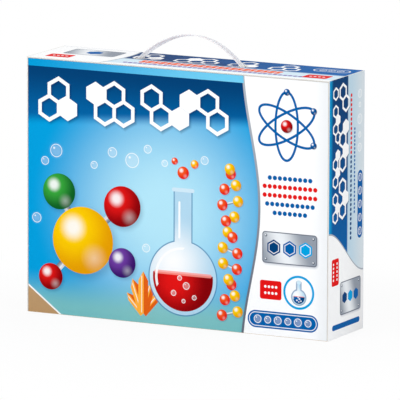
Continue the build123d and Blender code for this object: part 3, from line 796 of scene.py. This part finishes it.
def insert_material():
    """White-lined grey board, with a bare grey core along the front edges."""
    surface = Surface("insert_board", roughness=0.7, Specular_IOR_Level=0.3)
    fibre = surface.noise(1.6, detail=5.0)
    white = mixed(fibre, ink(232, 234, 234), ink(246, 247, 247))
    core = mixed(surface.noise(0.6, detail=4.0), ink(150, 146, 140), ink(188, 184, 176))
    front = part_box("insert_base")[0].y / MM + 0.4
    bare = (-surface.ny).above(0.5).low(surface.y.below(front))
    surface.paint(mixed(bare, white, core))
    surface.bump(fibre * 0.03, 0.6)
    return surface.material


def moulded(name, colour, roughness=0.28, shade=0.82):
    """Glossy moulded plastic, with faint flow marks and a fine sink texture."""
    surface = Surface(name, colour, roughness)
    flow = surface.noise(18.0, detail=3.0, stretch=(1, 1, 0.4))
    deep = tuple(part * shade for part in colour[:3]) + (1.0,)
    surface.paint(mixed(flow.smooth(0.3, 0.7) * 0.5, colour, deep))
    surface.gloss(surface.noise(4.0, detail=3.0) * 0.10 + (roughness - 0.05))
    surface.bump(surface.noise(1.2) * 0.012, 0.5)
    return surface.material


SHADE_TINT = ink(244, 247, 249)
MARK_INK = ink(40, 60, 90)
SHORT_MARK, LONG_MARK = 3.2, 6.0  # half the graduations' lengths
HALF_LINE, HALF_LONG_LINE = 0.35, 0.4
MARKS_PER_STEP = 5


def graduations(surface, node, foot, head, pitch):
    """1 on the printed lines on the front of a vessel, with each fifth line longer."""
    low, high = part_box(node)
    rise = surface.z - (low.z / MM + foot)
    near = abs((rise / pitch).fraction() - 0.5) * pitch - (pitch / 2 - HALF_LINE)
    step = pitch * MARKS_PER_STEP
    fifth = abs((rise / step).fraction() - 0.5) * step - (step / 2 - HALF_LONG_LINE)
    span = abs(surface.x - (low.x + high.x) / (2 * MM))
    short = near.above(0.0).low(span.below(SHORT_MARK))
    long = fifth.above(0.0).low(span.below(LONG_MARK))
    inside = rise.above(-0.4).low(rise.below(head - foot))
    return short.high(long).low(inside).low((-surface.ny).above(0.35))


def clear_material(name, tint, marks=None):
    """Clear polished plastic that lets lamps through, with printed graduations where marked."""
    surface = Surface(name, tint, 0.03, Transmission_Weight=1.0, IOR=1.35)
    surface.bump(surface.noise(6.0) * 0.02, 0.35)
    rays = surface.tree.nodes.new("ShaderNodeLightPath").outputs
    surface.blend("BsdfTransparent", rays["Is Shadow Ray"], SHADE_TINT)
    if marks:
        mark = graduations(surface, *marks)
        surface.paint(mixed(mark, tint, MARK_INK))
        feed(surface.shader.inputs["Transmission Weight"], 1.0 - mark)
    return surface.material


def booklet_material():
    """The booklet: a glossy cover with a printed band, and the edges of its pages."""
    surface = Surface("booklet_paper", roughness=0.35)
    low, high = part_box("instruction_booklet")
    size = (high - low) / MM
    p = Print(surface.x + size.x / 2, surface.z - low.z / MM, ink(238, 244, 248))
    p.paint((size.z - 60) - p.v, ink(10, 84, 150))
    p.honeycomb((size.x / 2 - 60, size.z - 32), ("ox.oo.o",), 10, 3, WHITE)
    p.ball((size.x / 2, size.z / 2 - 16), 34, YELLOW, DARK_YELLOW)
    page = mixed((surface.y * 9.0).sine().share(-0.2, 0.6), ink(206, 208, 208), WHITE)
    face = abs(surface.ny).above(0.5)
    surface.paint(mixed(face, page, p.colour))
    return surface.material


def strap_material():
    """Cloudy white polyethylene, with a fine grain along its length."""
    surface = Surface("strap_plastic", roughness=0.42, Specular_IOR_Level=0.4)
    cloud = surface.noise(7.0, detail=4.0)
    tone = mixed(cloud, ink(249, 250, 252), ink(255, 255, 255))
    surface.paint(tone)
    surface.blend("BsdfTranslucent", 0.5, tone)
    surface.bump(surface.noise(0.6, detail=3.0, stretch=(0.25, 1, 0.25)) * 0.03, 0.7)
    return surface.material


CLEAR_TINT = ink(253, 255, 255)
CLEAR = clear_material("clear_plastic", CLEAR_TINT)
STRAP = strap_material()
RED_PLASTIC = moulded("red_plastic", ink(214, 32, 28))
GREEN_PLASTIC = moulded("green_plastic", ink(38, 150, 66))
VIOLET_PLASTIC = moulded("violet_plastic", ink(112, 62, 160))
MARKED = {  # foot, head and pitch of the graduations
    "measuring_cylinder": (12.0, 126.0, 4.0),
    "beaker": (8.0, 56.0, 5.0),
    "conical_flask": (14.0, 66.0, 8.0),
}
FINISHES = {name: material for names, material in (
    ("lid_panel", FRONT_BOARD),
    ("left_wall right_wall", SIDE_BOARD),
    ("top_wall", TOP_BOARD),
    ("back_panel", BACK_BOARD),
    ("bottom_wall", base_material()),
    ("handle_patch lid_tongue", KRAFT_FLAT),
    ("lid_left_ear lid_right_ear", KRAFT_UPRIGHT),
    ("instruction_booklet", booklet_material()),
    ("test_tube_rack", moulded("yellow_plastic", ink(250, 206, 22))),
    ("funnel measuring_spoon stopper_1 jar_a_cap", RED_PLASTIC),
    ("stopper_2 jar_b_cap", GREEN_PLASTIC),
    ("stopper_3 jar_c_cap", VIOLET_PLASTIC),
    ("jar_a jar_b jar_c", moulded("white_plastic", ink(240, 240, 236), 0.42, shade=0.93)),
    ("pipette_bulb", moulded("bulb_rubber", ink(196, 52, 40), 0.68, shade=0.75)),
    ("glasses_left_temple glasses_right_temple", moulded("blue_plastic", ink(14, 88, 170))),
    ("glasses_lens", clear_material("lens_plastic", ink(196, 228, 244))),
    ("left_handle_anchor right_handle_anchor", STRAP),
) for name in names.split()}
for name, marks in MARKED.items():
    FINISHES[name] = clear_material(f"clear_{name}", CLEAR_TINT, (name, *marks))
INSERT = insert_material()
FAMILIES = (("glue_tab", KRAFT_FLAT), ("insert_", INSERT), ("_divider_", INSERT))


def finish_of(name):
    """The material of a carried-over node: its own, its family's, or clear plastic."""
    family = next((material for part, material in FAMILIES if part in name), CLEAR)
    return FINISHES.get(name, family)


for name, node in nodes.items():
    node.data.materials.clear()
    node.data.materials.append(finish_of(name))
    for face in node.data.polygons:
        face.material_index = 0


# ======== pieces modelled here
def placed(name, data):
    """A new object in the scene, of a mesh, a lamp or a camera."""
    thing = bpy.data.objects.new(name, data)
    bpy.context.scene.collection.objects.link(thing)
    return thing


def skin(mesh, rings):
    """Faces from each ring of vertices to the next. A ring may be one vertex repeated."""
    for first, second in zip(rings, rings[1:]):
        for place in range(len(first)):
            turn = (place + 1) % len(first)
            corners = (first[place], first[turn], second[turn], second[place])
            mesh.faces.new(list(dict.fromkeys(corners)))


def finished(name, mesh, data_name, material):
    """The piece that a mesh under construction makes, in its material."""
    bmesh.ops.recalc_face_normals(mesh, faces=mesh.faces)
    data = bpy.data.meshes.new(data_name)
    mesh.to_mesh(data)
    mesh.free()
    data.materials.append(material)
    return placed(name, data)


# ======== the strap handle
STRAP_THICKNESS = 1.4 * MM
STRAP_WIDTH = 16.5 * MM
STRAP_END_WIDTH = 13.5 * MM
STRAP_LEAN = math.radians(11)  # of the arch to the back
STRAP_TAPER_END = 10.0 * MM  # beyond the slots
STRAP_WAIST = 2 / 3  # of half the span, where the strap begins to taper
STRAP_STEPS = 72
STRAP_WEB = 0.42  # of the strap's thickness, between its ribs
STRAP_RIB_START = 2.6 * MM  # from the strap's edge
STRAP_RIB = (  # from the edge, and the share of the thickness
    (2.0 * MM, 0.95), (1.2 * MM, 1.0), (0.4 * MM, 0.8), (0.0, 0.25))
strap_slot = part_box("top_wall")[1].z


def strap_section(width):
    """Half of the strap's upper outline, from its middle: a thin web, then a rib at the edge."""
    half, thick = width / 2, STRAP_THICKNESS / 2
    web = thick * STRAP_WEB
    rib = [(half - inset, thick * share) for inset, share in STRAP_RIB]
    return [(0.0, web), (half - STRAP_RIB_START, web), *rib]


def make_strap():
    """The moulded strap: a leaning parabola, cut level at its ends just above the anchors."""
    right = Vector((1, 0, 0))
    up = Vector((0, math.sin(STRAP_LEAN), math.cos(STRAP_LEAN)))
    across = up.cross(right)
    ends = [sum(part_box(name), Vector()) / 2
            for name in ("left_handle_anchor", "right_handle_anchor")]
    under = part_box("handle_patch")[0].z
    depth = (strap_slot - under) / up.z
    foot = Vector(((ends[0].x + ends[1].x) / 2, ends[0].y + depth * up.y, strap_slot))
    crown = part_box("handle_strap")[1].z - strap_slot
    rise = (crown - STRAP_WIDTH / 2 * up.y) / up.z - STRAP_THICKNESS / 2
    half_span = (ends[1].x - ends[0].x) / 2 / math.sqrt(1 + depth / rise)
    waist = half_span * STRAP_WAIST
    reach = half_span * math.sqrt(1 + 2 * depth / rise)
    mesh = bmesh.new()
    rings = []
    for step in range(STRAP_STEPS + 1):
        run = reach * (2 * step / STRAP_STEPS - 1)
        out = (right * (2 * rise * run / half_span ** 2) + up).normalized()
        centre = foot + right * run + up * rise * (1 - (run / half_span) ** 2)
        share = max(0.0, (abs(run) - waist) / (half_span + STRAP_TAPER_END - waist))
        half = strap_section(STRAP_WIDTH + (STRAP_END_WIDTH - STRAP_WIDTH) * share)
        upper = [(-y, n) for y, n in half[::-1]] + half[1:]
        outline = upper + [(y, -n) for y, n in upper[::-1]]
        rings.append([mesh.verts.new(centre + across * y + out * n) for y, n in outline])
    skin(mesh, rings)
    bmesh.ops.bisect_plane(
        mesh, geom=mesh.verts[:] + mesh.edges[:] + mesh.faces[:], plane_co=(0, 0, under),
        plane_no=(0, 0, 1), clear_inner=True)
    bmesh.ops.holes_fill(mesh, edges=[edge for edge in mesh.edges if edge.is_boundary], sides=0)
    piece = finished("strap", mesh, "strap", STRAP)
    for face in piece.data.polygons:
        face.use_smooth = len(face.vertices) <= 4
    return piece


strap = make_strap()
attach(strap, "strap")
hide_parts("handle_strap")
press = next(joint for joint in frame["joints"] if joint["name"] == "handle_press")
STRAP_KEEP = 0.1
anchor = strap_slot - press["range_m"][0] / (1 - STRAP_KEEP)
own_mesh(strap)


# ======== the jars' caps
CAP_WALL = 1.6 * MM
CAP_RIBS = 40
CAP_COUNT = 4 * CAP_RIBS  # vertices round a cap
RIB_DEPTH = 0.45 * MM
CAP_ROUNDING = 1.3 * MM
CAP_DISH = 0.4 * MM  # how far the middle of the top is sunk
CAP_CHAMFER = 0.4 * MM
CAP_BAND = 1.4 * MM  # height of the plain band under the ribs
RIB_START = 1.9 * MM
DISH_RIM, DISH_FLOOR = 0.72, 0.68  # shares of the cap's radius


def make_cap(name, jar):
    """A screw cap with a ribbed grip, a rounded shoulder and a slightly sunk top."""
    low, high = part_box(name)
    outer = (high.x - low.x) / 2
    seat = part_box(jar)[1].z
    shoulder = high.z - CAP_ROUNDING
    turns = [math.radians(30 * step) for step in range(4)]
    profile = [  # radius, height and share of the ribs' depth
        (0.0, seat, 0), (outer - CAP_WALL, seat, 0), (outer - CAP_WALL, low.z, 0),
        (outer - RIB_DEPTH, low.z, 0), (outer, low.z + CAP_CHAMFER, 0),
        (outer, low.z + CAP_BAND, 0), (outer, low.z + RIB_START, 1),
        (outer, shoulder - CAP_CHAMFER, 1),
        *((outer - CAP_ROUNDING * (1 - math.cos(turn)),
           shoulder + CAP_ROUNDING * math.sin(turn), 0) for turn in turns),
        (outer * DISH_RIM, high.z, 0), (outer * DISH_FLOOR, high.z - CAP_DISH, 0),
        (0.0, high.z - CAP_DISH, 0),
    ]
    middle = (low + high) / 2
    mesh = bmesh.new()
    rings = []
    for radius, height, ribbed in profile:
        if radius == 0.0:
            rings.append([mesh.verts.new((middle.x, middle.y, height))] * CAP_COUNT)
            continue
        ring = []
        for step in range(CAP_COUNT):
            angle = 2 * math.pi * step / CAP_COUNT
            reach = radius - ribbed * RIB_DEPTH * (0.5 - 0.5 * math.cos(CAP_RIBS * angle))
            ring.append(mesh.verts.new((
                middle.x + reach * math.cos(angle), middle.y + reach * math.sin(angle), height)))
        rings.append(ring)
    skin(mesh, rings)
    piece = finished("ribbed_" + name, mesh, name, finish_of(name))
    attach(piece, "carton")
    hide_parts(name)


for jar in ("jar_a", "jar_b", "jar_c"):
    make_cap(jar + "_cap", jar)


# ======== floor, light and camera
STUDIO_LEVEL = 0.62  # of the world's light on the case
FLOOR_SIZE = 60.0
FLOOR_GAP = 0.2 * MM  # from the case's base down to the floor
FLOOR_TINT = ink(240, 240, 240)
FLOOR_SHADOW = 0.1  # how much of the case's shadow shows at its foot
FLOOR_FADE = (0.24, 0.5)  # how far off the shadow starts to fade, and ends
LAMPS = (  # name, place, size and power
    ("key", (-0.9, -3.0, 2.2), 2.2, 58.0),
    ("fill", (2.6, -0.8, 1.0), 2.0, 20.0),
    ("overhead", (0, 0.6, 3.0), 2.0, 24.0),
)
LAMP_TARGET = (0, 0, 0.15)


def background_rays(tree):
    """1 for the rays that show the plain background, directly or by gloss or clear plastic."""
    rays = tree.nodes.new("ShaderNodeLightPath").outputs
    straight, mirrored, through = (Field(rays[name]) for name in (
        "Is Camera Ray", "Is Glossy Ray", "Is Transmission Ray"))
    return straight.high(mirrored).high(through)


def floor_material():
    """A pale floor that shows white, with only the object's shadow near its foot."""
    material = bpy.data.materials.new("floor")
    material.use_nodes = True
    tree = material.node_tree
    tree.nodes.clear()
    place = tree.nodes.new("ShaderNodeTexCoord").outputs["Object"]
    distance = add_node(tree, "VectorMath", {0: place}, operation="LENGTH")
    far = Field(distance.outputs["Value"]).smooth(*FLOOR_FADE)
    plain = add_node(tree, "BsdfDiffuse", {"Color": FLOOR_TINT})
    glow = add_node(tree, "Emission", {"Color": (1, 1, 1, 1)})
    share = (far * FLOOR_SHADOW + (1.0 - FLOOR_SHADOW)) * background_rays(tree)
    blend = add_node(tree, "MixShader", {0: share, 1: plain.outputs[0], 2: glow.outputs[0]})
    add_node(tree, "OutputMaterial", {"Surface": blend.outputs[0]})
    return material


def make_floor():
    """A wide floor just under the case."""
    bpy.ops.mesh.primitive_plane_add(size=FLOOR_SIZE, location=(0, 0, -FLOOR_GAP))
    floor = bpy.context.object
    floor.name = "floor"
    floor.data.materials.append(floor_material())


def make_world():
    """Even studio light, with a plain white background."""
    world = bpy.data.worlds.new("studio")
    bpy.context.scene.world = world
    world.use_nodes = True
    tree = world.node_tree
    tree.nodes.clear()
    level = background_rays(tree) * (1.0 - STUDIO_LEVEL) + STUDIO_LEVEL
    glow = add_node(tree, "Background", {"Strength": level})
    add_node(tree, "OutputWorld", {"Surface": glow.outputs[0]})


def make_lamp(name, place, size, power):
    """A soft square lamp, turned to the case."""
    data = bpy.data.lights.new(name, "AREA")
    data.size = size
    data.energy = power
    lamp = placed(name, data)
    lamp.location = place
    lamp.rotation_euler = (Vector(LAMP_TARGET) - Vector(place)).to_track_quat("-Z", "Y").to_euler()


SENSOR = 36.0
CAMERA_YAW = math.radians(27.1)  # round to the right of the case's front
CAMERA_PITCH = math.radians(10.0)
CAMERA_DISTANCE = 8.832
CAMERA_LENS = 632.25
CAMERA_SHIFT = (6.8 * MM, -10.3 * MM)  # of the view's middle from the case's, right and up
CAMERA_ROLL = math.radians(0.18)


def make_camera():
    """A long lens far off, to the right of the case and a little above it."""
    back = Vector((
        math.sin(CAMERA_YAW) * math.cos(CAMERA_PITCH),
        -math.cos(CAMERA_YAW) * math.cos(CAMERA_PITCH),
        math.sin(CAMERA_PITCH),
    ))
    turn = back.to_track_quat("Z", "Y")
    right, up = turn @ Vector((1, 0, 0)), turn @ Vector((0, 1, 0))
    data = bpy.data.cameras.new("camera")
    data.sensor_width = SENSOR
    data.lens = CAMERA_LENS
    data.clip_end = 200.0
    camera = placed("camera", data)
    middle = Vector((0, 0, CASE_HEIGHT * MM / 2))
    camera.location = (
        middle + back * CAMERA_DISTANCE + right * CAMERA_SHIFT[0] + up * CAMERA_SHIFT[1])
    camera.rotation_euler = turn.to_euler()
    camera.rotation_euler.rotate_axis("Z", CAMERA_ROLL)
    bpy.context.scene.camera = camera


make_floor()
make_world()
for lamp in LAMPS:
    make_lamp(*lamp)
make_camera()
bpy.context.scene.view_settings.view_transform = "Standard"

bpy.context.view_layer.update()
